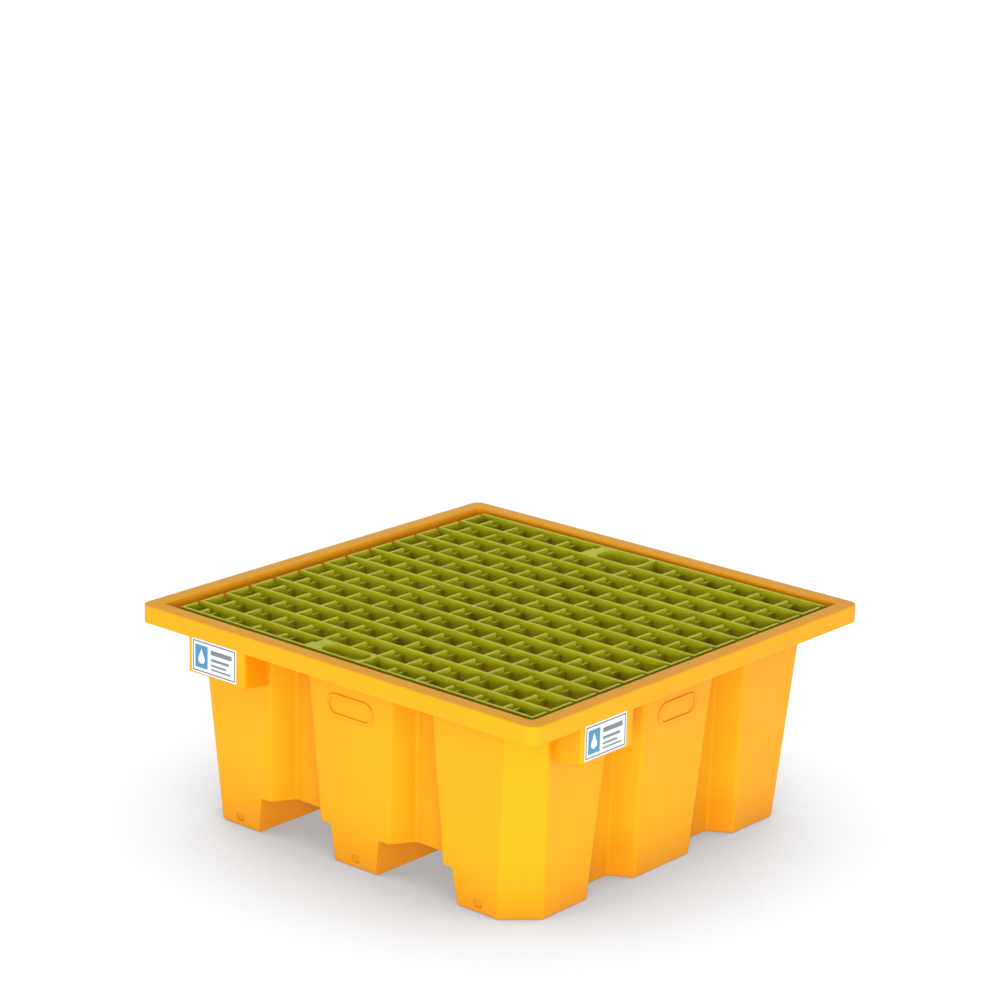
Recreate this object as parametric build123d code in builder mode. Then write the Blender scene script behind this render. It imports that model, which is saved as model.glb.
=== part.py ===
"""Spill containment pallet for four drums: moulded sump tub, drop-in grating, support posts and labels.

Millimetres, +Z up. The origin is the centre of the tub's footprint, on the surface it stands on.
The fork pockets run along Y, so the two fork entry faces are -Y and +Y.
"""
import os
from math import atan, cos, degrees, radians, sin, tan

from build123d import *

# overall size
RIM_WIDTH = 1265.0            # square, outside the rim
HEIGHT = 550.0                # floor to the top of the rim
SKIN = 8.0                    # moulded wall thickness

# turned-down rim
RIM_DEPTH = 46.0              # height of the outer band
RIM_TOP_WIDTH = 41.0          # flat top of the rim
RIM_CORNER_R = 28.0
RIM_INNER_CORNER_R = 12.0
RIM_EDGE_R = 3.5
RIM_LOWER_EDGE_R = 2.5
SEAT_HALF = 580.0             # half width of the recess that the grating drops into, at its floor
GRATING_DEPTH = 34.0
GRATING_BELOW_RIM = 4.0

# tub walls: half widths at the floor and where they would meet the rim's top plane
WALL_HALF_BASE = 525.0
WALL_HALF_TOP = 560.0
CORNER_START_BASE = 448.5     # where each cut-off corner starts, from the middle of the side
CORNER_START_TOP = 491.0
WALL_EDGE_R = 12.0
FLOOR_EDGE_R = 9.0

# two upright flutes in every side
FLUTE_PLACE = 197.0           # from the middle of the side
FLUTE_HALF_BASE = 91.0
FLUTE_HALF_TOP = 58.0
FLUTE_DEPTH = 58.0
FLUTE_SIDE_RUN = 36.0         # how far each slanted flute side runs along the wall

# rounded beads up the inner corners of the flutes on the fork entry faces
BEAD_R = 11.0
BEAD_START_Z = 125.0          # where a bead starts to stand out of the wall

# fork pockets through the tub along Y
POCKET_HEIGHT = 96.0
POCKET_INNER_BASE = 66.0      # from the centre line, at the floor
POCKET_INNER_ROOF = 78.0
POCKET_OUTER_BASE = 327.0
POCKET_OUTER_ROOF = 311.0
POCKET_EDGE_R = 8.0

# dimples low on the feet of the fork entry faces
DIMPLE_WIDTH = 26.0
DIMPLE_HEIGHT = 18.0
DIMPLE_DEPTH = 4.0
DIMPLE_Z = 25.0
DIMPLE_CORNER_R = 6.0
FOOT_PLACE = 388.0

# label pads under the rim, one near the left end of every side as seen from outside
PAD_START = -463.0
PAD_END = -273.0
PAD_BOTTOM_FRONT = 416.0
PAD_BOTTOM_WALL = 406.0
PAD_EDGE_R = 7.0
PAD_LAP = 6.0                 # how far a pad runs up inside the rim
PAD_ROOT = 4.0                # how far a pad's back is sunk in the wall
LABEL_WIDTH = 152.0
LABEL_HEIGHT = 86.0
LABEL_THICK = 1.0
LABEL_PLACE = -375.0
LABEL_Z = 464.0
LABEL_CORNER_R = 3.0
LABEL_GAP = 0.2

# blank raised cartouche in the middle of every side
CARTOUCHE_WIDTH = 148.0
CARTOUCHE_HEIGHT = 58.0
CARTOUCHE_LINE = 7.0
CARTOUCHE_RAISE = 2.5
CARTOUCHE_Z = 414.0
CARTOUCHE_ROOT = 2.0          # how far its foot is sunk in the wall

# grating
GRATING_X = 1128.0
GRATING_Y = 1136.0
GRATING_SHIFT_X = 12.0        # it sits loose in its seat, pushed to one side
GRATING_SHIFT_Y = -3.0
GRATING_CORNER_R = 7.0
BAR = 8.0
PITCH = 88.6
CELL_COUNT = 12               # full cells each way; the last, narrower cell is what is left over
NOTCH_DEPTH = 16.0
NOTCH_INNER = 28.0
NOTCH_OUTER = 12.0
HAND_HOLE_START = -100.0
HAND_HOLE_CORNER_R = 26.0

# support posts in the middle trough
POST_PLACES = (-325.0, -15.0, 295.0)
POST_FOOT_R = 54.0
POST_SHAFT_R_BASE = 46.0
POST_SHAFT_R_TOP = 40.0
POST_HEAD_R = 72.0
POST_SKIN = 5.0
POST_PLATE = 8.0

CUT_OVERRUN = 1.0             # how far a cut runs past the faces it opens

RIM_HALF = RIM_WIDTH / 2
RIM_BOTTOM = HEIGHT - RIM_DEPTH
OPENING_HALF = RIM_HALF - RIM_TOP_WIDTH
GRATING_TOP = HEIGHT - GRATING_BELOW_RIM
SEAT_Z = GRATING_TOP - GRATING_DEPTH
WALL_SLOPE = (WALL_HALF_TOP - WALL_HALF_BASE) / HEIGHT
SEAT_SLOPE = (OPENING_HALF - SEAT_HALF) / (HEIGHT - SEAT_Z)
CORNER_TURN = 45.0
FLUTE_TURN = 90.0 - degrees(atan(FLUTE_SIDE_RUN / FLUTE_DEPTH))


def between(base, top, z):
    """A size that changes evenly from the floor to the rim's top plane."""
    return base + (top - base) * z / HEIGHT


def wall_half(z):
    """Distance of a wall's outer face from the middle of the tub."""
    return between(WALL_HALF_BASE, WALL_HALF_TOP, z)


def side_points(z, inset):
    """One side's outline seen from above, from corner to corner, moved in by inset."""
    half = wall_half(z) - inset
    corner = between(CORNER_START_BASE, CORNER_START_TOP, z) - inset * tan(radians(CORNER_TURN / 2))
    flute = between(FLUTE_HALF_BASE, FLUTE_HALF_TOP, z) + inset * tan(radians(FLUTE_TURN / 2))
    points = [(-corner, -half)]
    for place in (-FLUTE_PLACE, FLUTE_PLACE):
        points.append((place - flute, -half))
        points.append((place - flute + FLUTE_SIDE_RUN, -half + FLUTE_DEPTH))
        points.append((place + flute - FLUTE_SIDE_RUN, -half + FLUTE_DEPTH))
        points.append((place + flute, -half))
    points.append((corner, -half))
    return points


def tub_outline(z, inset):
    """The whole fluted outline at one height, anticlockwise."""
    points = []
    for turn in range(4):
        for x, y in side_points(z, inset):
            for _ in range(turn):
                x, y = -y, x
            points.append((x, y))
    return points


def pocket_outline(side, grow):
    """A fork pocket's section in X and Z on one side of the middle, made larger by grow."""
    below = -CUT_OVERRUN
    inner_slope = (POCKET_INNER_ROOF - POCKET_INNER_BASE) / POCKET_HEIGHT
    outer_slope = (POCKET_OUTER_BASE - POCKET_OUTER_ROOF) / POCKET_HEIGHT
    roof = POCKET_HEIGHT + grow
    inner = POCKET_INNER_BASE - grow
    outer = POCKET_OUTER_BASE + grow
    return [
        (side * (inner + inner_slope * below), below),
        (side * (inner + inner_slope * roof), roof),
        (side * (outer - outer_slope * roof), roof),
        (side * (outer - outer_slope * below), below),
    ]


def flute_corner(place, hand, z, sunk):
    """A flute's inner corner on the front face at one height, moved by sunk into the material."""
    reach = between(FLUTE_HALF_BASE, FLUTE_HALF_TOP, z) - FLUTE_SIDE_RUN
    into = radians(FLUTE_TURN / 2)
    x = place + hand * (reach + sunk * sin(into))
    y = -wall_half(z) + FLUTE_DEPTH + sunk * cos(into)
    return x, y


def facing(turn):
    """Outward direction of a side, counted anticlockwise from the -Y side, and the way along it."""
    outward = Vector(0, -1, 0).rotate(Axis.Z, 90 * turn)
    along = Vector(1, 0, 0).rotate(Axis.Z, 90 * turn)
    return outward, along


def wall_plane(turn, place, z, out=0.0):
    """A plane on a side's sloping outer face."""
    outward, along = facing(turn)
    normal = outward - Vector(0, 0, WALL_SLOPE)
    origin = outward * wall_half(z) + along * place + Vector(0, 0, z)
    return Plane(origin=origin, x_dir=along, z_dir=normal).offset(out)


def rim_plane(turn, place, z, out=0.0):
    """An upright plane on a side, level with the outside of the rim."""
    outward, along = facing(turn)
    origin = outward * RIM_HALF + along * place + Vector(0, 0, z)
    return Plane(origin=origin, x_dir=along, z_dir=outward).offset(out)


def section_plane(turn, place):
    """A plane across a side, with X outward and Y up, at a place along it."""
    outward, along = facing(turn)
    return Plane(origin=along * place, x_dir=outward, z_dir=-along)


os.makedirs("parts", exist_ok=True)

# outside of the tub below the rim
with BuildPart() as outside:
    for level in (0.0, SEAT_Z):
        with BuildSketch(Plane.XY.offset(level)) as section:
            with BuildLine():
                Polyline(*tub_outline(level, 0.0), close=True)
            make_face()
            fillet(section.vertices(), WALL_EDGE_R)
    loft(ruled=True)
    fillet(outside.edges().group_by(Axis.Z)[0], FLOOR_EDGE_R)
    for side in (-1, 1):
        with BuildSketch(Plane.XZ) as section:
            with BuildLine():
                Polyline(*pocket_outline(side, 0.0), close=True)
            make_face()
            fillet(section.vertices().group_by(Axis.Y)[-1], POCKET_EDGE_R)
        extrude(amount=RIM_HALF, both=True, mode=Mode.SUBTRACT)

# beads that grow out of the flutes' inner corners towards the rim
with BuildPart() as beads:
    for side in (-1, 1):
        for place in (-FLUTE_PLACE, FLUTE_PLACE):
            for hand in (-1, 1):
                for level, sunk in ((BEAD_START_Z, BEAD_R), (SEAT_Z, 0.0)):
                    x, y = flute_corner(place, hand, level, sunk)
                    with BuildSketch(Plane.XY.offset(level)):
                        with Locations((x, -side * y)):
                            Circle(BEAD_R)
                loft(ruled=True)

# room inside the tub below the grating's seat
with BuildPart() as hollow:
    for level in (SKIN, SEAT_Z):
        with BuildSketch(Plane.XY.offset(level)) as section:
            with BuildLine():
                Polyline(*tub_outline(level, SKIN), close=True)
            make_face()
            fillet(section.vertices(), WALL_EDGE_R)
    loft(ruled=True)
    for side in (-1, 1):
        with BuildSketch(Plane.XZ) as section:
            with BuildLine():
                Polyline(*pocket_outline(side, SKIN), close=True)
            make_face()
            fillet(section.vertices().group_by(Axis.Y)[-1], POCKET_EDGE_R)
        extrude(amount=RIM_HALF, both=True, mode=Mode.SUBTRACT)

# the tapering recess that the grating drops into
with BuildPart() as recess:
    for level, half in ((SEAT_Z, SEAT_HALF), (HEIGHT, OPENING_HALF)):
        with BuildSketch(Plane.XY.offset(level)):
            RectangleRounded(2 * half, 2 * half, RIM_INNER_CORNER_R)
    loft(ruled=True)

# the skin round that recess, with the ledge under the grating's edge
bowl_low = SEAT_HALF + SKIN - SEAT_SLOPE * SKIN
bowl_high = OPENING_HALF + SKIN - SEAT_SLOPE * SKIN
with BuildPart() as bowl:
    for level, half in ((RIM_BOTTOM, bowl_low), (HEIGHT - SKIN, bowl_high)):
        with BuildSketch(Plane.XY.offset(level)):
            RectangleRounded(2 * half, 2 * half, RIM_INNER_CORNER_R + SKIN)
    loft(ruled=True)

# rim: a turned-down lip, open below
with BuildPart() as rim:
    with BuildSketch(Plane.XY.offset(RIM_BOTTOM)):
        RectangleRounded(RIM_WIDTH, RIM_WIDTH, RIM_CORNER_R)
    extrude(amount=RIM_DEPTH)
    fillet(rim.edges().group_by(Axis.Z)[-1], RIM_EDGE_R)
    fillet(rim.edges().group_by(Axis.Z)[0], RIM_LOWER_EDGE_R)
    with BuildSketch(Plane.XY.offset(RIM_BOTTOM)):
        RectangleRounded(RIM_WIDTH - 2 * SKIN, RIM_WIDTH - 2 * SKIN, RIM_CORNER_R - SKIN)
    extrude(amount=RIM_DEPTH - SKIN, mode=Mode.SUBTRACT)
    add(bowl.part)
    add(recess.part, mode=Mode.SUBTRACT)
    mouth_edges = []
    for edge in rim.edges().group_by(Axis.Z)[-1]:
        reach = max(abs(edge.center().X), abs(edge.center().Y))
        if reach < OPENING_HALF + RIM_EDGE_R:
            mouth_edges.append(edge)
    fillet(mouth_edges, RIM_EDGE_R)

# label pads: hollow blocks that carry the rim's outer band down over a leg
with BuildPart() as pads:
    for turn in range(4):
        with BuildSketch(section_plane(turn, PAD_END)):
            with BuildLine():
                Polyline(
                    (wall_half(PAD_BOTTOM_WALL) - PAD_ROOT, PAD_BOTTOM_WALL),
                    (RIM_HALF, PAD_BOTTOM_FRONT),
                    (RIM_HALF, RIM_BOTTOM + PAD_LAP),
                    (wall_half(RIM_BOTTOM) - PAD_ROOT, RIM_BOTTOM + PAD_LAP),
                    close=True,
                )
            make_face()
        extrude(amount=PAD_END - PAD_START)
    for turn in range(4):
        outward, along = facing(turn)
        front_edges = pads.edges().group_by(Axis((0, 0, 0), outward))[-1]
        fillet([edge for edge in front_edges if edge.center().Z < RIM_BOTTOM], PAD_EDGE_R)
    for turn in range(4):
        with BuildSketch(section_plane(turn, PAD_END - SKIN)):
            with BuildLine():
                Polyline(
                    (wall_half(PAD_BOTTOM_WALL + SKIN), PAD_BOTTOM_WALL + SKIN),
                    (RIM_HALF - SKIN, PAD_BOTTOM_FRONT + SKIN),
                    (RIM_HALF - SKIN, RIM_BOTTOM + PAD_LAP),
                    (wall_half(RIM_BOTTOM + PAD_LAP), RIM_BOTTOM + PAD_LAP),
                    close=True,
                )
            make_face()
        extrude(amount=PAD_END - PAD_START - 2 * SKIN, mode=Mode.SUBTRACT)

# sump tub: one hollow moulding with walls, feet, fork pockets, rim and pads
with BuildPart() as sump_tub:
    add(outside.part)
    add(beads.part)
    add(rim.part)
    add(hollow.part, mode=Mode.SUBTRACT)
    add(pads.part)
    for turn in range(4):
        with BuildSketch(wall_plane(turn, 0.0, CARTOUCHE_Z, -CARTOUCHE_ROOT)):
            SlotOverall(CARTOUCHE_WIDTH, CARTOUCHE_HEIGHT)
            SlotOverall(
                CARTOUCHE_WIDTH - 2 * CARTOUCHE_LINE,
                CARTOUCHE_HEIGHT - 2 * CARTOUCHE_LINE,
                mode=Mode.SUBTRACT,
            )
        extrude(amount=CARTOUCHE_RAISE + CARTOUCHE_ROOT)
        with BuildSketch(rim_plane(turn, LABEL_PLACE, LABEL_Z)):
            RectangleRounded(LABEL_WIDTH, LABEL_HEIGHT, LABEL_CORNER_R)
        extrude(amount=-LABEL_THICK, mode=Mode.SUBTRACT)
    for turn in (0, 2):
        for place in (-FOOT_PLACE, 0.0, FOOT_PLACE):
            with BuildSketch(wall_plane(turn, place, DIMPLE_Z)):
                RectangleRounded(DIMPLE_WIDTH, DIMPLE_HEIGHT, DIMPLE_CORNER_R)
            extrude(amount=-DIMPLE_DEPTH, mode=Mode.SUBTRACT)
sump_tub.part.label = "sump_tub"
export_step(sump_tub.part, "parts/sump_tub.step")

# drop-in grating: one moulding, deep crossing bars with a hand hole at the front and the back edge
bar_xs = [GRATING_SHIFT_X + GRATING_X / 2 - BAR / 2 - PITCH * i for i in range(CELL_COUNT + 1)]
bar_xs.append(GRATING_SHIFT_X - GRATING_X / 2 + BAR / 2)
bar_ys = [GRATING_SHIFT_Y + GRATING_Y / 2 - BAR / 2 - PITCH * i for i in range(CELL_COUNT + 1)]
bar_ys.append(GRATING_SHIFT_Y - GRATING_Y / 2 + BAR / 2)
hand_hole_bar = min((x for x in bar_xs if x > 0.0), key=abs)
hand_hole_end = hand_hole_bar - BAR / 2
hand_hole_x = (HAND_HOLE_START + hand_hole_end) / 2

with BuildPart() as grating:
    with BuildSketch(Plane.XY.offset(SEAT_Z)):
        with Locations((GRATING_SHIFT_X, GRATING_SHIFT_Y)):
            RectangleRounded(GRATING_X, GRATING_Y, GRATING_CORNER_R)
        for row in range(CELL_COUNT + 1):
            cell_y = (bar_ys[row] + bar_ys[row + 1]) / 2
            cell_length = bar_ys[row] - bar_ys[row + 1] - BAR
            at_edge = row in (0, CELL_COUNT)
            for column in range(CELL_COUNT + 1):
                cell_x = (bar_xs[column] + bar_xs[column + 1]) / 2
                cell_width = bar_xs[column] - bar_xs[column + 1] - BAR
                if at_edge and hand_hole_bar - 2 * PITCH < cell_x < hand_hole_bar:
                    continue
                with Locations((cell_x, cell_y)):
                    Rectangle(cell_width, cell_length, mode=Mode.SUBTRACT)
            if at_edge:
                with Locations((hand_hole_x, cell_y)):
                    RectangleRounded(
                        hand_hole_end - HAND_HOLE_START,
                        cell_length,
                        HAND_HOLE_CORNER_R,
                        mode=Mode.SUBTRACT,
                    )
    extrude(amount=GRATING_DEPTH)
    with BuildSketch(Plane.XY.offset(GRATING_TOP)):
        for row in range(CELL_COUNT + 1):
            for bar_x in bar_xs:
                over_hand_hole = row in (0, CELL_COUNT) and HAND_HOLE_START < bar_x < hand_hole_end
                if over_hand_hole:
                    continue
                outermost = bar_x in (bar_xs[0], bar_xs[-1])
                notch = NOTCH_OUTER if outermost else NOTCH_INNER
                with Locations((bar_x, bar_ys[row] - BAR / 2 - notch / 2)):
                    Rectangle(BAR + CUT_OVERRUN, notch)
    extrude(amount=-NOTCH_DEPTH, mode=Mode.SUBTRACT)
grating.part.label = "grating"
export_step(grating.part, "parts/grating.step")

# support posts: hollow props that stand in the middle trough and carry the grating
for number, place in enumerate(POST_PLACES, start=1):
    with BuildPart() as support_post:
        with BuildSketch(Plane.XZ.offset(-place)):
            with BuildLine():
                Polyline(
                    (POST_SHAFT_R_BASE - POST_SKIN, SKIN),
                    (POST_FOOT_R, SKIN),
                    (POST_FOOT_R, SKIN + POST_PLATE),
                    (POST_SHAFT_R_BASE, SKIN + POST_PLATE),
                    (POST_SHAFT_R_TOP, SEAT_Z - POST_PLATE),
                    (POST_HEAD_R, SEAT_Z - POST_PLATE),
                    (POST_HEAD_R, SEAT_Z),
                    (0.0, SEAT_Z),
                    (0.0, SEAT_Z - POST_PLATE),
                    (POST_SHAFT_R_TOP - POST_SKIN, SEAT_Z - POST_PLATE),
                    close=True,
                )
            make_face()
        revolve(axis=Axis((0.0, place, 0.0), (0.0, 0.0, 1.0)))
    name = f"support_post_{number}"
    support_post.part.label = name
    export_step(support_post.part, f"parts/{name}.step")

# one blank identification label on every pad
for turn, name in enumerate(("label_front", "label_right", "label_rear", "label_left")):
    with BuildPart() as label:
        with BuildSketch(rim_plane(turn, LABEL_PLACE, LABEL_Z, -LABEL_THICK)):
            RectangleRounded(
                LABEL_WIDTH - 2 * LABEL_GAP,
                LABEL_HEIGHT - 2 * LABEL_GAP,
                LABEL_CORNER_R,
            )
        extrude(amount=LABEL_THICK)
    label.part.label = name
    export_step(label.part, f"parts/{name}.step")
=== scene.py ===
"""Looks of the spill containment pallet: moulded tub, drop-in grating, support posts and labels.

Metres, +Z up, in the model's own frame: the origin is the middle of the footprint, on the floor.
"""
from math import cos, pi, radians, sin

import bmesh
import bpy
from mathutils import Matrix, Vector


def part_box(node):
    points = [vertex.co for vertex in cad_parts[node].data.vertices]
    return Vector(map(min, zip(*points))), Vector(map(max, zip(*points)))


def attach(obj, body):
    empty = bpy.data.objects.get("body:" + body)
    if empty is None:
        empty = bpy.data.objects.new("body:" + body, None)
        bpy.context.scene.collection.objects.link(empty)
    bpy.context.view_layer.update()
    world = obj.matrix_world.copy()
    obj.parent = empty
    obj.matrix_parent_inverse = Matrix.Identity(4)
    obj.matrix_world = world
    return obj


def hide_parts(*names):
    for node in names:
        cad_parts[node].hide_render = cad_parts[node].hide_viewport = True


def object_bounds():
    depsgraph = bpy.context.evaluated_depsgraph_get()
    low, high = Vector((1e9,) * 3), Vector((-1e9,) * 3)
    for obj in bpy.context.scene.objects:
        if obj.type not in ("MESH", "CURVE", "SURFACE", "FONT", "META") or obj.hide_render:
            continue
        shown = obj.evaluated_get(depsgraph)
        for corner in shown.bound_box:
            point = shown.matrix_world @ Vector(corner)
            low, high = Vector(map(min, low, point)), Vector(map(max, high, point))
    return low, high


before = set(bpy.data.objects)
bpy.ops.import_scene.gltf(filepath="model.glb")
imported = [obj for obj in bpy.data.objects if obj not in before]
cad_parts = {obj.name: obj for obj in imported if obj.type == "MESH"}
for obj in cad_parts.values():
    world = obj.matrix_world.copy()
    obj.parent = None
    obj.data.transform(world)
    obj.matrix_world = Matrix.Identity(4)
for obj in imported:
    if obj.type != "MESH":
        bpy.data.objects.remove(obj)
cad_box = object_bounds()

MM = 0.001

# ---------------------------------------------------------------- sizes of the visible pieces
BAR = 8 * MM
PITCH = 88.6 * MM
FULL_CELLS = 12
NOTCH_DEPTH = 16 * MM
NOTCH_INNER = 28 * MM
NOTCH_OUTER = 12 * MM
HAND_HOLE_START = -100 * MM
HAND_HOLE_CORNER = 26 * MM
HAND_HOLE_ARC_STEPS = 8
BAR_ROUNDING = 1.7 * MM
LABEL_CORNER = 3 * MM
LABEL_ARC_STEPS = 6
LABEL_ROUNDING = 0.25 * MM

# ---------------------------------------------------------------- camera
CAMERA_AZIMUTH = radians(40.167)
CAMERA_ELEVATION = radians(16.363)
CAMERA_ROLL = radians(1.497)
CAMERA_DISTANCE = 8.2177
CAMERA_RIGHT = -0.0076
CAMERA_UP = 0.2555
CAMERA_LENS = 119.47
CAMERA_SENSOR = 36.0

# ---------------------------------------------------------------- light
HORIZON_LIGHT = 0.64
ZENITH_LIGHT = 0.56
KEY_DISTANCE = 9.0
KEY_POWER = 500.0
BACK_POWER = 170.0
TOP_DISTANCE = 5.0
TOP_POWER = 24.0
FLOOR_SIZE = 90.0
FLOOR_SHADE_REACH = 1.1
FLOOR_GLOW_SHADED = 0.38
FLOOR_GLOW_OPEN = 0.98


# ================================================================ node helpers
def add(tree, kind, **settings):
    """A node of one kind, with its own settings and the values of its named inputs."""
    node = tree.nodes.new("ShaderNode" + kind)
    for name, value in settings.items():
        if name in node.inputs:
            node.inputs[name].default_value = value
        else:
            setattr(node, name, value)
    return node


def calc(tree, operation, first, second=0.0, clamp=False):
    """The output of a Math node; first and second are numbers or outputs."""
    node = tree.nodes.new("ShaderNodeMath")
    node.operation = operation
    node.use_clamp = clamp
    for socket, value in zip(node.inputs, (first, second)):
        if isinstance(value, bpy.types.NodeSocket):
            tree.links.new(value, socket)
        else:
            socket.default_value = value
    return node.outputs[0]


def remap(tree, value, low, high, to_low=0.0, to_high=1.0):
    """The output of a clamped Map Range node with a soft start and end."""
    node = tree.nodes.new("ShaderNodeMapRange")
    node.interpolation_type = "SMOOTHSTEP"
    tree.links.new(value, node.inputs["Value"])
    for name, number in (("From Min", low), ("From Max", high), ("To Min", to_low), ("To Max", to_high)):
        if isinstance(number, bpy.types.NodeSocket):
            tree.links.new(number, node.inputs[name])
        else:
            node.inputs[name].default_value = number
    return node.outputs["Result"]


def mix_colour(tree, amount, first, second):
    """The output of a colour Mix node; each of the three is a value or an output."""
    node = tree.nodes.new("ShaderNodeMix")
    node.data_type = "RGBA"
    for index, value in ((0, amount), (6, first), (7, second)):
        if isinstance(value, bpy.types.NodeSocket):
            tree.links.new(value, node.inputs[index])
        else:
            node.inputs[index].default_value = value
    return node.outputs[2]


def new_group(name, inputs, outputs):
    """An empty shader group with named sockets, its input node and its output node."""
    group = bpy.data.node_groups.new(name, "ShaderNodeTree")
    for socket_name, kind, value in inputs:
        socket = group.interface.new_socket(socket_name, in_out="INPUT", socket_type="NodeSocket" + kind)
        socket.default_value = value
    for socket_name, kind in outputs:
        group.interface.new_socket(socket_name, in_out="OUTPUT", socket_type="NodeSocket" + kind)
    return group, group.nodes.new("NodeGroupInput"), group.nodes.new("NodeGroupOutput")


def use_group(tree, group, **values):
    """One use of a group in a material; a value is a number, a colour or an output."""
    node = tree.nodes.new("ShaderNodeGroup")
    node.node_tree = group
    for name, value in values.items():
        socket = node.inputs[name.replace("_", " ")]
        if isinstance(value, bpy.types.NodeSocket):
            tree.links.new(value, socket)
        else:
            socket.default_value = value
    return node


def noise(tree, place, scale, detail=3.0, roughness=0.5, distortion=0.0):
    """The value of a noise texture over a place."""
    node = add(tree, "TexNoise", Detail=detail, Roughness=roughness, Distortion=distortion)
    tree.links.new(place, node.inputs["Vector"])
    if isinstance(scale, bpy.types.NodeSocket):
        tree.links.new(scale, node.inputs["Scale"])
    else:
        node.inputs["Scale"].default_value = scale
    return node.outputs["Fac"]


# ================================================================ effects used by several finishes
WAVES_PER_METRE = 4.2
FLECKS_PER_METRE = 260.0
DUST_AND_LIGHT_PATCHES_PER_METRE = 9.0
SCUFFS_PER_METRE = 34.0
SCUFF_STRETCH = 7.0
CLOUDS_PER_METRE = 2.6
EDGE_BREAKS_PER_METRE = 38.0
SCUFF_HEIGHT = 70 * MM
LEVEL_START = 0.60
LEVEL_FULL = 0.98


def moulded_skin_group():
    """Height of a moulded surface in metres: a fine pebble, and slow waves where the wall shrank in cooling."""
    group, given, result = new_group(
        "moulded_skin",
        (
            ("Pebble Size", "Float", 3 * MM),
            ("Pebble Height", "Float", 0.05 * MM),
            ("Wave Height", "Float", 0.6 * MM),
        ),
        (("Height", "Float"), ("Pebble", "Float")),
    )
    place = add(group, "TexCoord").outputs["Object"]
    pebble_scale = calc(group, "DIVIDE", 1.0, given.outputs["Pebble Size"])
    cells = add(group, "TexVoronoi", feature="SMOOTH_F1", Smoothness=0.6)
    group.links.new(place, cells.inputs["Vector"])
    group.links.new(pebble_scale, cells.inputs["Scale"])
    rough = noise(group, place, pebble_scale, detail=2.0)
    pebble = calc(group, "MULTIPLY", calc(group, "ADD", cells.outputs["Distance"], rough), 0.5)
    waves = noise(group, place, WAVES_PER_METRE, detail=1.5, distortion=0.4)
    fine = calc(group, "MULTIPLY", pebble, given.outputs["Pebble Height"])
    slow = calc(group, "MULTIPLY", waves, given.outputs["Wave Height"])
    group.links.new(calc(group, "ADD", fine, slow), result.inputs["Height"])
    group.links.new(pebble, result.inputs["Pebble"])
    return group


def colour_drift_group():
    """Pigment that isn't quite evenly spread: broad clouds and small flecks between three near tones."""
    group, given, result = new_group(
        "colour_drift",
        (
            ("Tone", "Color", (0.5, 0.5, 0.5, 1)),
            ("Deep Tone", "Color", (0.4, 0.4, 0.4, 1)),
            ("Pale Tone", "Color", (0.6, 0.6, 0.6, 1)),
            ("Cloud Scale", "Float", CLOUDS_PER_METRE),
        ),
        (("Color", "Color"), ("Clouds", "Float")),
    )
    place = add(group, "TexCoord").outputs["Object"]
    clouds = noise(group, place, given.outputs["Cloud Scale"], detail=4.0, roughness=0.6, distortion=0.6)
    flecks = noise(group, place, FLECKS_PER_METRE, detail=2.0)
    deep = remap(group, clouds, 0.56, 0.34)
    pale = remap(group, flecks, 0.60, 0.76)
    toned = mix_colour(group, deep, given.outputs["Tone"], given.outputs["Deep Tone"])
    group.links.new(mix_colour(group, pale, toned, given.outputs["Pale Tone"]), result.inputs["Color"])
    group.links.new(clouds, result.inputs["Clouds"])
    return group


def soft_edge_group():
    """Rounded normal at moulded edges, and a broken mask of those edges, used both for rubbed wear and as a
    painted edge highlight.
    """
    group, given, result = new_group(
        "soft_edge",
        (("Radius", "Float", 3 * MM), ("Breakup", "Float", EDGE_BREAKS_PER_METRE)),
        (("Normal", "Vector"), ("Rubbed And Highlight", "Float")),
    )
    bevel = add(group, "Bevel", samples=4)
    group.links.new(given.outputs["Radius"], bevel.inputs["Radius"])
    facing = add(group, "NewGeometry").outputs["Normal"]
    dot = add(group, "VectorMath", operation="DOT_PRODUCT")
    group.links.new(bevel.outputs["Normal"], dot.inputs[0])
    group.links.new(facing, dot.inputs[1])
    edge = remap(group, dot.outputs["Value"], 0.995, 0.90)
    place = add(group, "TexCoord").outputs["Object"]
    patches = noise(group, place, given.outputs["Breakup"], detail=5.0, roughness=0.65)
    broken = remap(group, patches, 0.46, 0.62)
    group.links.new(calc(group, "MULTIPLY", edge, broken), result.inputs["Rubbed And Highlight"])
    group.links.new(bevel.outputs["Normal"], result.inputs["Normal"])
    return group


def dirt_and_top_light_group():
    """Masks of upward faces, used both as settled dust and as painted top light, and of scuffs and grime near
    the floor.
    """
    group, given, result = new_group(
        "dirt_and_top_light",
        (("Scuff Height", "Float", SCUFF_HEIGHT),),
        (("Dust And Top Light", "Float"), ("Scuffs", "Float")),
    )
    place = add(group, "TexCoord").outputs["Object"]
    split = add(group, "SeparateXYZ")
    group.links.new(place, split.inputs["Vector"])
    upward = add(group, "SeparateXYZ")
    group.links.new(add(group, "NewGeometry").outputs["Normal"], upward.inputs["Vector"])
    level = remap(group, upward.outputs["Z"], LEVEL_START, LEVEL_FULL)
    patches = noise(group, place, DUST_AND_LIGHT_PATCHES_PER_METRE, detail=6.0, roughness=0.7, distortion=0.8)
    patch_mask = remap(group, patches, 0.40, 0.72)
    group.links.new(calc(group, "MULTIPLY", level, patch_mask), result.inputs["Dust And Top Light"])
    low = remap(group, split.outputs["Z"], given.outputs["Scuff Height"], 0.0)
    stretched = add(group, "Mapping", Scale=(1.0, 1.0, SCUFF_STRETCH))
    group.links.new(place, stretched.inputs["Vector"])
    streaks = noise(group, stretched.outputs["Vector"], SCUFFS_PER_METRE, detail=6.0, roughness=0.75,
                    distortion=1.2)
    scratched = remap(group, streaks, 0.50, 0.68)
    group.links.new(calc(group, "MULTIPLY", low, scratched), result.inputs["Scuffs"])
    return group


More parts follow.
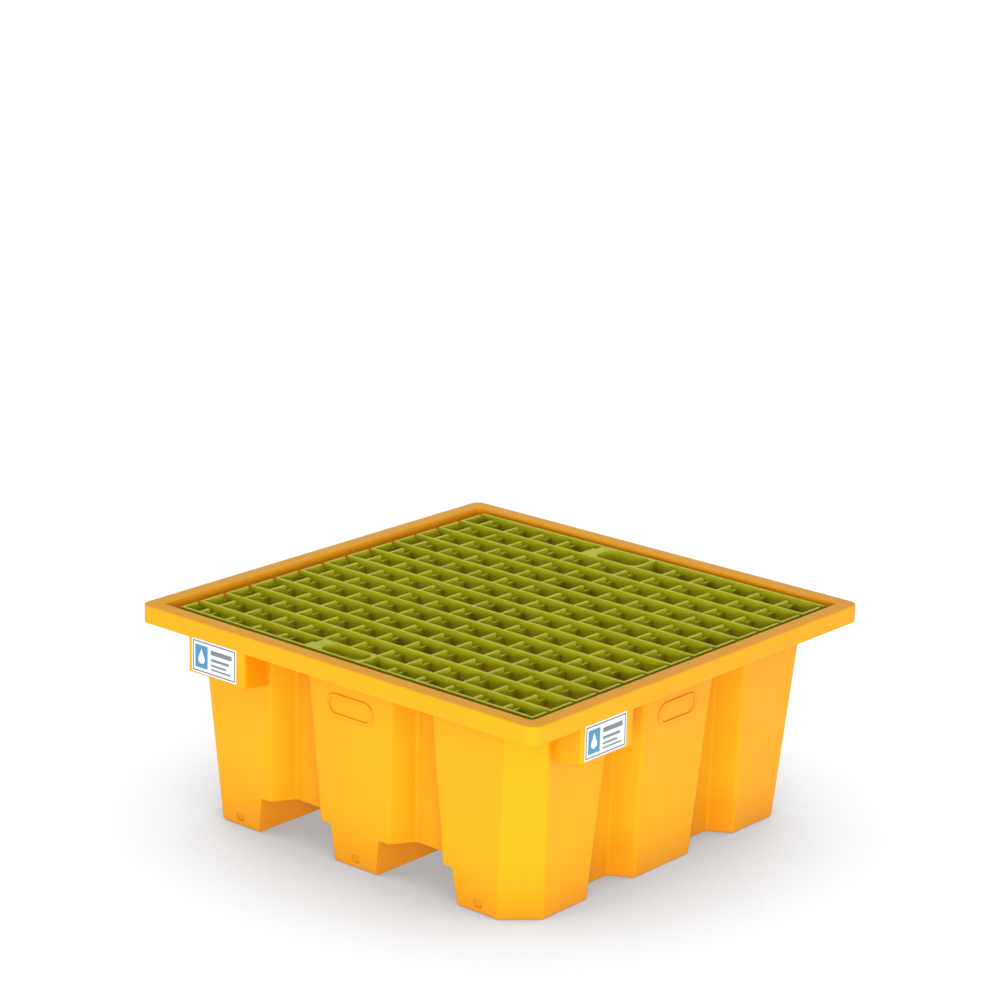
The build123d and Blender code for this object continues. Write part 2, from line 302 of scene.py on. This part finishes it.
def painted_shade_group():
    """A mask of painted shade in hollows, flutes and the wall under a ledge, found by ambient occlusion."""
    group, given, result = new_group("painted_shade", (("Reach", "Float", 150 * MM),), (("Painted Shade", "Float"),))
    openness = add(group, "AmbientOcclusion", samples=4)
    group.links.new(given.outputs["Reach"], openness.inputs["Distance"])
    group.links.new(remap(group, openness.outputs["AO"], 0.94, 0.40), result.inputs["Painted Shade"])
    return group


moulded_skin = moulded_skin_group()
colour_drift = colour_drift_group()
soft_edge = soft_edge_group()
dirt_and_top_light = dirt_and_top_light_group()
painted_shade = painted_shade_group()


# ================================================================ finishes
def new_finish(name):
    """An empty material with its Principled shader, and its node tree."""
    material = bpy.data.materials.new(name)
    material.use_nodes = True
    tree = material.node_tree
    tree.nodes.clear()
    shader = tree.nodes.new("ShaderNodeBsdfPrincipled")
    output = tree.nodes.new("ShaderNodeOutputMaterial")
    tree.links.new(shader.outputs["BSDF"], output.inputs["Surface"])
    return material, tree, shader


def moulded_plastic(name, *, tone, deep, pale, painted_shade_tone, rubbed_and_highlight_tone, dust_and_top_light_tone, roughness, specular, pebble_size,
                    pebble_height, wave_height, edge_radius, shade_reach, shade_amount, dust_and_top_light_amount,
                    rub_and_highlight_amount, scuff_amount):
    """Rotationally moulded polyethylene: satin, faintly pebbled, with soft edges, a little use on it and
    painted shade in its hollows; its edge and upward-face masks also carry a painted edge highlight and painted
    top light.
    """
    material, tree, shader = new_finish(name)
    skin = use_group(tree, moulded_skin, Pebble_Size=pebble_size, Pebble_Height=pebble_height,
                     Wave_Height=wave_height)
    drift = use_group(tree, colour_drift, Tone=tone, Deep_Tone=deep, Pale_Tone=pale,
                      Cloud_Scale=CLOUDS_PER_METRE)
    edge = use_group(tree, soft_edge, Radius=edge_radius, Breakup=EDGE_BREAKS_PER_METRE)
    dirt_and_top_light_masks = use_group(tree, dirt_and_top_light, Scuff_Height=SCUFF_HEIGHT)
    shade = use_group(tree, painted_shade, Reach=shade_reach)
    painted_shading = calc(tree, "MULTIPLY", shade.outputs["Painted Shade"], shade_amount)
    rub_and_highlight = calc(tree, "MULTIPLY", edge.outputs["Rubbed And Highlight"], rub_and_highlight_amount)
    dust_and_top_light = calc(tree, "MULTIPLY", dirt_and_top_light_masks.outputs["Dust And Top Light"], dust_and_top_light_amount)
    scuffed = calc(tree, "MULTIPLY", dirt_and_top_light_masks.outputs["Scuffs"], scuff_amount)
    # Painted shade: the colour is pulled towards a darker tone where the ambient-occlusion mask finds hollows.
    colour = mix_colour(tree, painted_shading, drift.outputs["Color"], painted_shade_tone)
    # Rubbed wear and a painted edge highlight: the colour is pulled towards a paler tone along the broken edge
    # mask.
    colour = mix_colour(tree, rub_and_highlight, colour, rubbed_and_highlight_tone)
    # Dust on upward faces, and painted top light: upward faces are pulled towards the given tone, which on the
    # grating is a lighter lime.
    colour = mix_colour(tree, dust_and_top_light, colour, dust_and_top_light_tone)
    colour = mix_colour(tree, scuffed, colour, dust_and_top_light_tone)
    tree.links.new(colour, shader.inputs["Base Color"])
    gloss = remap(tree, drift.outputs["Clouds"], 0.3, 0.7, roughness - 0.05, roughness + 0.06)
    gloss = calc(tree, "ADD", gloss, calc(tree, "MULTIPLY", skin.outputs["Pebble"], 0.05))
    worn = calc(tree, "ADD", calc(tree, "MULTIPLY", rub_and_highlight, 0.10), calc(tree, "MULTIPLY", dust_and_top_light, 0.25))
    tree.links.new(calc(tree, "ADD", gloss, worn, clamp=True), shader.inputs["Roughness"])
    bump = add(tree, "Bump", Strength=1.0, Distance=1.0)
    tree.links.new(skin.outputs["Height"], bump.inputs["Height"])
    tree.links.new(edge.outputs["Normal"], bump.inputs["Normal"])
    tree.links.new(bump.outputs["Normal"], shader.inputs["Normal"])
    shader.inputs["Specular IOR Level"].default_value = specular
    return material


tub_finish = moulded_plastic(
    "tub_polyethylene",
    tone=(0.935, 0.420, 0.005, 1),
    deep=(0.915, 0.392, 0.003, 1),
    pale=(0.950, 0.448, 0.010, 1),
    painted_shade_tone=(0.780, 0.250, 0.001, 1),
    rubbed_and_highlight_tone=(0.960, 0.500, 0.080, 1),
    dust_and_top_light_tone=(0.560, 0.400, 0.210, 1),
    roughness=0.36,
    specular=0.15,
    pebble_size=3 * MM,
    pebble_height=0.07 * MM,
    wave_height=1.2 * MM,
    edge_radius=3.5 * MM,
    shade_reach=160 * MM,
    shade_amount=0.90,
    dust_and_top_light_amount=0.10,
    rub_and_highlight_amount=0.35,
    scuff_amount=0.22,
)
# Painted light on the grating: its hollows are painted near-black shade, and its edges and upward faces a
# lighter lime as painted highlight and painted top light.
grating_finish = moulded_plastic(
    "grating_polyethylene",
    tone=(0.520, 0.555, 0.009, 1),
    deep=(0.460, 0.500, 0.007, 1),
    pale=(0.590, 0.620, 0.022, 1),
    painted_shade_tone=(0.160, 0.175, 0.001, 1),
    rubbed_and_highlight_tone=(0.760, 0.780, 0.120, 1),
    dust_and_top_light_tone=(0.700, 0.710, 0.090, 1),
    roughness=0.46,
    specular=0.35,
    pebble_size=2 * MM,
    pebble_height=0.06 * MM,
    wave_height=0.3 * MM,
    edge_radius=1.5 * MM,
    shade_reach=40 * MM,
    shade_amount=0.80,
    dust_and_top_light_amount=0.55,
    rub_and_highlight_amount=0.55,
    scuff_amount=0.0,
)
post_finish = moulded_plastic(
    "post_polyethylene",
    tone=(0.860, 0.360, 0.010, 1),
    deep=(0.800, 0.320, 0.008, 1),
    pale=(0.900, 0.400, 0.020, 1),
    painted_shade_tone=(0.700, 0.240, 0.002, 1),
    rubbed_and_highlight_tone=(0.930, 0.500, 0.090, 1),
    dust_and_top_light_tone=(0.500, 0.380, 0.210, 1),
    roughness=0.48,
    specular=0.30,
    pebble_size=2.4 * MM,
    pebble_height=0.06 * MM,
    wave_height=0.5 * MM,
    edge_radius=2.5 * MM,
    shade_reach=100 * MM,
    shade_amount=0.60,
    dust_and_top_light_amount=0.25,
    rub_and_highlight_amount=0.20,
    scuff_amount=0.25,
)


# ---------------------------------------------------------------- printed label
# Blocks are (left, right, bottom, top), in shares of the label's width and height.
FRAME_OUTSIDE = (0.025, 0.975, 0.045, 0.955)
FRAME_INSIDE = (0.047, 0.953, 0.083, 0.917)
PANEL = (0.08, 0.36, 0.16, 0.84)
BARS = ((0.43, 0.90, 0.64, 0.78), (0.43, 0.84, 0.45, 0.53), (0.43, 0.78, 0.30, 0.36), (0.43, 0.88, 0.18, 0.23))
BLOCK_SOFTNESS = 0.004
LABEL_ASPECT = 1.77
DROP_ACROSS = 0.22
DROP_UP = 0.42
DROP_RADIUS = 0.13
DROP_POINT = 0.32
DROP_TAPER = 0.42
DROP_SHOULDER = 0.045
DROP_SOFTNESS = 0.005
FRAME_INK = (0.10, 0.16, 0.22, 1)
PANEL_INK = (0.035, 0.26, 0.48, 1)
BAR_INK = (0.16, 0.20, 0.24, 1)
PAPER = (0.86, 0.88, 0.89, 1)


def between(tree, value, low, high):
    """A mask that is one where value lies between low and high."""
    rising = remap(tree, value, low - BLOCK_SOFTNESS, low + BLOCK_SOFTNESS)
    falling = remap(tree, value, high + BLOCK_SOFTNESS, high - BLOCK_SOFTNESS)
    return calc(tree, "MULTIPLY", rising, falling)


def block(tree, across, up, left, right, bottom, top):
    """A mask of an upright rectangle on the label, in shares of its width and height."""
    return calc(tree, "MULTIPLY", between(tree, across, left, right), between(tree, up, bottom, top))


def drop_shape(tree, across, up):
    """A mask of a plain drop: a disc with a pointed top."""
    sideways = calc(tree, "MULTIPLY", calc(tree, "SUBTRACT", across, DROP_ACROSS), LABEL_ASPECT)
    above = calc(tree, "SUBTRACT", up, DROP_UP)
    squares = calc(tree, "ADD", calc(tree, "POWER", sideways, 2.0), calc(tree, "POWER", above, 2.0))
    reach = calc(tree, "SQRT", squares)
    disc = remap(tree, reach, DROP_RADIUS + DROP_SOFTNESS, DROP_RADIUS - DROP_SOFTNESS)
    taper = calc(tree, "MULTIPLY", calc(tree, "SUBTRACT", DROP_POINT, above), DROP_TAPER)
    spare = calc(tree, "SUBTRACT", taper, calc(tree, "ABSOLUTE", sideways))
    inside = remap(tree, spare, -BLOCK_SOFTNESS, BLOCK_SOFTNESS)
    over = remap(tree, above, DROP_SHOULDER - DROP_SOFTNESS, DROP_SHOULDER + DROP_SOFTNESS)
    return calc(tree, "MAXIMUM", disc, calc(tree, "MULTIPLY", inside, over))


def label_finish():
    """White laminated film, printed with a thin frame, a plain drop in a panel, and blank bars."""
    material, tree, shader = new_finish("printed_label")
    split = add(tree, "SeparateXYZ")
    tree.links.new(add(tree, "TexCoord").outputs["UV"], split.inputs["Vector"])
    across = split.outputs["X"]
    up = split.outputs["Y"]
    paper = use_group(tree, colour_drift, Tone=(0.83, 0.85, 0.87, 1), Deep_Tone=(0.80, 0.82, 0.84, 1),
                      Pale_Tone=PAPER, Cloud_Scale=18.0)
    frame_line = calc(tree, "SUBTRACT", block(tree, across, up, *FRAME_OUTSIDE),
                      block(tree, across, up, *FRAME_INSIDE), clamp=True)
    panel = block(tree, across, up, *PANEL)
    bars = block(tree, across, up, *BARS[0])
    for bar in BARS[1:]:
        bars = calc(tree, "MAXIMUM", bars, block(tree, across, up, *bar))
    colour = mix_colour(tree, frame_line, paper.outputs["Color"], FRAME_INK)
    colour = mix_colour(tree, panel, colour, PANEL_INK)
    colour = mix_colour(tree, bars, colour, BAR_INK)
    colour = mix_colour(tree, drop_shape(tree, across, up), colour, PAPER)
    tree.links.new(colour, shader.inputs["Base Color"])
    ink = calc(tree, "MAXIMUM", calc(tree, "MAXIMUM", frame_line, panel), bars)
    gloss = remap(tree, paper.outputs["Clouds"], 0.3, 0.7, 0.22, 0.34)
    smoother = calc(tree, "MULTIPLY", ink, 0.06)
    tree.links.new(calc(tree, "SUBTRACT", gloss, smoother), shader.inputs["Roughness"])
    film = use_group(tree, moulded_skin, Pebble_Size=1.2 * MM, Pebble_Height=0.02 * MM, Wave_Height=0.3 * MM)
    raised = calc(tree, "ADD", film.outputs["Height"], calc(tree, "MULTIPLY", ink, 0.03 * MM))
    bump = add(tree, "Bump", Strength=1.0, Distance=1.0)
    tree.links.new(raised, bump.inputs["Height"])
    tree.links.new(bump.outputs["Normal"], shader.inputs["Normal"])
    shader.inputs["Coat Weight"].default_value = 0.3
    shader.inputs["Coat Roughness"].default_value = 0.12
    return material


printed_label_finish = label_finish()


# ================================================================ mesh helpers
def new_piece(name, mesh_maker, finish):
    """A linked object whose mesh is filled in by mesh_maker, with one finish."""
    mesh = bpy.data.meshes.new(name)
    work = bmesh.new()
    mesh_maker(work)
    bmesh.ops.recalc_face_normals(work, faces=work.faces)
    work.to_mesh(mesh)
    work.free()
    mesh.materials.append(finish)
    for polygon in mesh.polygons:
        polygon.use_smooth = True
    piece = bpy.data.objects.new(name, mesh)
    bpy.context.scene.collection.objects.link(piece)
    return piece


def round_edges(piece, width, segments):
    """Rounded edges on every corner sharper than 30 degrees."""
    bevel = piece.modifiers.new("rounded_edges", "BEVEL")
    bevel.width = width
    bevel.segments = segments
    bevel.limit_method = "ANGLE"
    bevel.angle_limit = radians(30)
    bevel.harden_normals = True


# ================================================================ grating
grating_low, grating_high = (Vector(corner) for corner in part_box("grating"))
NOTCH_Z = grating_high.z - NOTCH_DEPTH
LEVELS = (grating_low.z, NOTCH_Z, grating_high.z)


def bar_lines(low, high):
    """Centre lines of the bars one way: an even pitch from the high side, and one more at the low side."""
    lines = [high - BAR / 2 - PITCH * count for count in range(FULL_CELLS + 1)]
    lines.append(low + BAR / 2)
    return lines


bars_x = bar_lines(grating_low.x, grating_high.x)
bars_y = bar_lines(grating_low.y, grating_high.y)
hand_hole_end = min(line for line in bars_x if line > 0) - BAR / 2
plate_start = max(line for line in bars_x if line < HAND_HOLE_START)
hand_hole_rows = (
    (bars_y[1] + BAR / 2, bars_y[0] - BAR / 2),
    (bars_y[-1] + BAR / 2, bars_y[-2] - BAR / 2),
)


def on_bar(place, lines):
    """True where a place lies on one of the bars."""
    return any(abs(place - line) < BAR / 2 for line in lines)


def in_hand_row(y):
    """True in the two rows of cells that hold a hand hole."""
    return any(low < y < high for low, high in hand_hole_rows)


def top_of(x, y):
    """Height of the grating's top over a place, or None in an opening."""
    if on_bar(y, bars_y):
        return grating_high.z
    if in_hand_row(y):
        if HAND_HOLE_START < x < hand_hole_end:
            return None
        if plate_start < x < HAND_HOLE_START or hand_hole_end < x < hand_hole_end + BAR:
            return grating_high.z
    if not on_bar(x, bars_x):
        return None
    outermost = abs(x - bars_x[0]) < BAR / 2 or abs(x - bars_x[-1]) < BAR / 2
    notch = NOTCH_OUTER if outermost else NOTCH_INNER
    next_bar = min(line - BAR / 2 for line in bars_y if line > y)
    return NOTCH_Z if next_bar - y < notch else grating_high.z


def grid_lines():
    """Every line where the grating's height changes, each way."""
    across = {HAND_HOLE_START, HAND_HOLE_START + HAND_HOLE_CORNER, hand_hole_end - HAND_HOLE_CORNER}
    for line in bars_x:
        across.update((line - BAR / 2, line + BAR / 2))
    along = set()
    for line in bars_y:
        along.update((line - BAR / 2, line + BAR / 2))
    for line in bars_y[:-1]:
        along.update((line - BAR / 2 - NOTCH_INNER, line - BAR / 2 - NOTCH_OUTER))
    for low, high in hand_hole_rows:
        along.update((low + HAND_HOLE_CORNER, high - HAND_HOLE_CORNER))
    return sorted(across), sorted(along)


def make_grating(work):
    """One moulding: full bars across, notched bars along, and two hand holes with rounded corners."""
    xs, ys = grid_lines()
    points = {}

    def point(x, y, z):
        key = (round(x / MM, 2), round(y / MM, 2), round(z / MM, 2))
        if key not in points:
            points[key] = work.verts.new((x, y, z))
        return points[key]

    def wall(first, second, low, high):
        """Upright faces between two plan points, split where the notches end."""
        for bottom, top in zip(LEVELS, LEVELS[1:]):
            if low <= bottom and top <= high:
                work.faces.new((point(*first, bottom), point(*second, bottom),
                                point(*second, top), point(*first, top)))

    corners = {}
    for low, high in hand_hole_rows:
        for x, toward_x in ((HAND_HOLE_START, -1), (hand_hole_end, 1)):
            for y, toward_y in ((low, -1), (high, 1)):
                corners[(round(x / MM, 2), round(y / MM, 2))] = (toward_x, toward_y)

    tops = {}
    webs = {}
    for column in range(len(xs) - 1):
        for row in range(len(ys) - 1):
            middle_x = (xs[column] + xs[column + 1]) / 2
            middle_y = (ys[row] + ys[row + 1]) / 2
            tops[column, row] = top_of(middle_x, middle_y)
            if tops[column, row] is not None:
                continue
            for x in (xs[column], xs[column + 1]):
                for y in (ys[row], ys[row + 1]):
                    toward = corners.get((round(x / MM, 2), round(y / MM, 2)))
                    if toward and (middle_x - x) * toward[0] < 0 and (middle_y - y) * toward[1] < 0:
                        webs[column, row] = (x, y, toward)

    def height(column, row):
        top = tops.get((column, row))
        if (column, row) in webs:
            return grating_high.z
        return grating_low.z if top is None else top

    for (column, row), top in tops.items():
        left, right = xs[column], xs[column + 1]
        near, far = ys[row], ys[row + 1]
        if (column, row) in webs:
            x, y, toward = webs[column, row]
            centre_x = x - toward[0] * HAND_HOLE_CORNER
            centre_y = y - toward[1] * HAND_HOLE_CORNER
            arc = []
            for step in range(HAND_HOLE_ARC_STEPS + 1):
                turn = pi / 2 * step / HAND_HOLE_ARC_STEPS
                arc.append((centre_x + toward[0] * HAND_HOLE_CORNER * cos(turn),
                            centre_y + toward[1] * HAND_HOLE_CORNER * sin(turn)))
            for first, second in zip(arc, arc[1:]):
                for level in (grating_low.z, grating_high.z):
                    work.faces.new((point(x, y, level), point(*first, level), point(*second, level)))
                wall(first, second, grating_low.z, grating_high.z)
            continue
        if top is not None:
            for level in (grating_low.z, top):
                work.faces.new((point(left, near, level), point(right, near, level),
                                point(right, far, level), point(left, far, level)))
    for column in range(-1, len(xs) - 1):
        for row in range(-1, len(ys) - 1):
            here = height(column, row)
            for neighbour, first, second in (
                ((column + 1, row), (column + 1, row), (column + 1, row + 1)),
                ((column, row + 1), (column, row + 1), (column + 1, row + 1)),
            ):
                there = height(*neighbour)
                opens_on_web = ((column, row) in webs) != (neighbour in webs)
                if here == there or (opens_on_web and min(here, there) == grating_low.z):
                    continue
                if min(first + second) < 0:
                    continue
                start = (xs[first[0]], ys[first[1]])
                end = (xs[second[0]], ys[second[1]])
                wall(start, end, min(here, there), max(here, there))


grating = new_piece("deck_grating", make_grating, grating_finish)
round_edges(grating, BAR_ROUNDING, 3)
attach(grating, "grating")
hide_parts("grating")


# ================================================================ labels
def make_label(node, outward):
    """A thin plate with round corners in the place of a label node, with the print laid over its face."""
    low, high = (Vector(corner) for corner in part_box(node))
    middle = (low + high) / 2
    up = Vector((0, 0, 1))
    across = up.cross(outward)
    size = high - low
    width = abs(size.dot(across))
    tall = size.z
    thick = abs(size.dot(outward))

    def maker(work):
        layer = work.loops.layers.uv.new("print")
        outline = []
        for toward_x, toward_y, start in ((1, 1, 0), (-1, 1, 1), (-1, -1, 2), (1, -1, 3)):
            for step in range(LABEL_ARC_STEPS + 1):
                turn = pi / 2 * (start + step / LABEL_ARC_STEPS)
                outline.append((toward_x * (width / 2 - LABEL_CORNER) + LABEL_CORNER * cos(turn),
                                toward_y * (tall / 2 - LABEL_CORNER) + LABEL_CORNER * sin(turn)))
        rings = []
        for depth in (-thick / 2, thick / 2):
            rings.append([work.verts.new(middle + across * x + up * y + outward * depth) for x, y in outline])
        for ring in rings:
            work.faces.new(ring)
        for index in range(len(outline)):
            after = (index + 1) % len(outline)
            work.faces.new((rings[0][index], rings[0][after], rings[1][after], rings[1][index]))
        for face in work.faces:
            for loop in face.loops:
                offset = loop.vert.co - middle
                loop[layer].uv = (offset.dot(across) / width + 0.5, offset.z / tall + 0.5)

    label = new_piece(node + "_print", maker, printed_label_finish)
    round_edges(label, LABEL_ROUNDING, 2)
    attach(label, "tub")
    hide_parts(node)


for label_node, facing in (
    ("label_front", Vector((0, -1, 0))),
    ("label_right", Vector((1, 0, 0))),
    ("label_rear", Vector((0, 1, 0))),
    ("label_left", Vector((-1, 0, 0))),
):
    make_label(label_node, facing)

# ================================================================ tub and posts
node_finishes = {"sump_tub": tub_finish}
for post_number in (1, 2, 3):
    node_finishes[f"support_post_{post_number}"] = post_finish
for node_name, finish in node_finishes.items():
    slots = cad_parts[node_name].data.materials
    slots.clear()
    slots.append(finish)


# ================================================================ studio
def make_floor():
    """A wide plain pale floor that glows evenly, with a painted shadow: its glow drops where the pallet stands
    over it.
    """
    material, tree, shader = new_finish("studio_floor")
    place = add(tree, "TexCoord").outputs["Object"]
    tone = remap(tree, noise(tree, place, 0.8, detail=2.0), 0.3, 0.7)
    colour = mix_colour(tree, tone, (0.098, 0.100, 0.104, 1), (0.102, 0.104, 0.108, 1))
    tree.links.new(colour, shader.inputs["Base Color"])
    shader.inputs["Roughness"].default_value = 0.8
    shader.inputs["Specular IOR Level"].default_value = 0.0
    # Painted shadow: ambient occlusion lowers the floor's glow near the pallet.
    openness = add(tree, "AmbientOcclusion", samples=12, Distance=FLOOR_SHADE_REACH).outputs["AO"]
    glow = remap(tree, openness, 0.15, 0.94, FLOOR_GLOW_SHADED, FLOOR_GLOW_OPEN)
    tree.links.new(glow, shader.inputs["Emission Strength"])
    shader.inputs["Emission Color"].default_value = (1.0, 1.0, 1.0, 1)
    mesh = bpy.data.meshes.new("studio_floor")
    half = FLOOR_SIZE / 2
    corners = [(-half, -half, 0), (half, -half, 0), (half, half, 0), (-half, half, 0)]
    mesh.from_pydata(corners, [], [(0, 1, 2, 3)])
    mesh.materials.append(material)
    floor = bpy.data.objects.new("studio_floor", mesh)
    bpy.context.scene.collection.objects.link(floor)


def make_world():
    """Even studio light that is strongest near the horizon and weak overhead."""
    world = bpy.data.worlds.new("studio")
    bpy.context.scene.world = world
    world.use_nodes = True
    tree = world.node_tree
    tree.nodes.clear()
    split = add(tree, "SeparateXYZ")
    tree.links.new(add(tree, "TexCoord").outputs["Generated"], split.inputs["Vector"])
    strength = remap(tree, split.outputs["Z"], 0.22, 0.80, HORIZON_LIGHT, ZENITH_LIGHT)
    background = tree.nodes.new("ShaderNodeBackground")
    background.inputs["Color"].default_value = (1.0, 0.995, 0.985, 1)
    tree.links.new(strength, background.inputs["Strength"])
    output = tree.nodes.new("ShaderNodeOutputWorld")
    tree.links.new(background.outputs["Background"], output.inputs["Surface"])


def softbox(name, azimuth, elevation, distance, width, tall, power, mirrored):
    """A large area light that faces the middle of the pallet; where it isn't mirrored, it leaves no glare."""
    target = Vector((0, 0, cad_box[1][2] / 2))
    away = Vector((sin(azimuth) * cos(elevation), -cos(azimuth) * cos(elevation), sin(elevation)))
    light = bpy.data.lights.new(name, "AREA")
    light.shape = "RECTANGLE"
    light.size = width
    light.size_y = tall
    light.energy = power
    holder = bpy.data.objects.new(name, light)
    holder.location = target + away * distance
    holder.rotation_euler = away.to_track_quat("Z", "Y").to_euler()
    holder.visible_glossy = mirrored
    bpy.context.scene.collection.objects.link(holder)


def make_camera():
    """The camera, placed from its bearing round the middle of the rim's top."""
    away = Vector((sin(CAMERA_AZIMUTH) * cos(CAMERA_ELEVATION), -cos(CAMERA_AZIMUTH) * cos(CAMERA_ELEVATION),
                   sin(CAMERA_ELEVATION)))
    level_right = Vector((cos(CAMERA_AZIMUTH), sin(CAMERA_AZIMUTH), 0))
    level_up = away.cross(level_right)
    right = level_right * cos(CAMERA_ROLL) + level_up * sin(CAMERA_ROLL)
    up = level_up * cos(CAMERA_ROLL) - level_right * sin(CAMERA_ROLL)
    target = Vector((0, 0, cad_box[1][2]))
    data = bpy.data.cameras.new("studio_camera")
    data.lens = CAMERA_LENS
    data.sensor_width = CAMERA_SENSOR
    camera = bpy.data.objects.new("studio_camera", data)
    place = target + right * CAMERA_RIGHT + up * CAMERA_UP + away * CAMERA_DISTANCE
    turn = Matrix((right, up, away)).transposed().to_4x4()
    camera.matrix_world = Matrix.Translation(place) @ turn
    bpy.context.scene.collection.objects.link(camera)
    bpy.context.scene.camera = camera


make_floor()
make_world()
softbox("key_softbox", radians(41), radians(7), KEY_DISTANCE, 5.0, 2.2, KEY_POWER, False)
softbox("back_softbox", radians(221), radians(12), KEY_DISTANCE, 5.0, 2.2, BACK_POWER, False)
softbox("top_softbox", radians(220), radians(68), TOP_DISTANCE, 1.5, 1.5, TOP_POWER, True)
make_camera()
bpy.context.scene.view_settings.view_transform = "Standard"
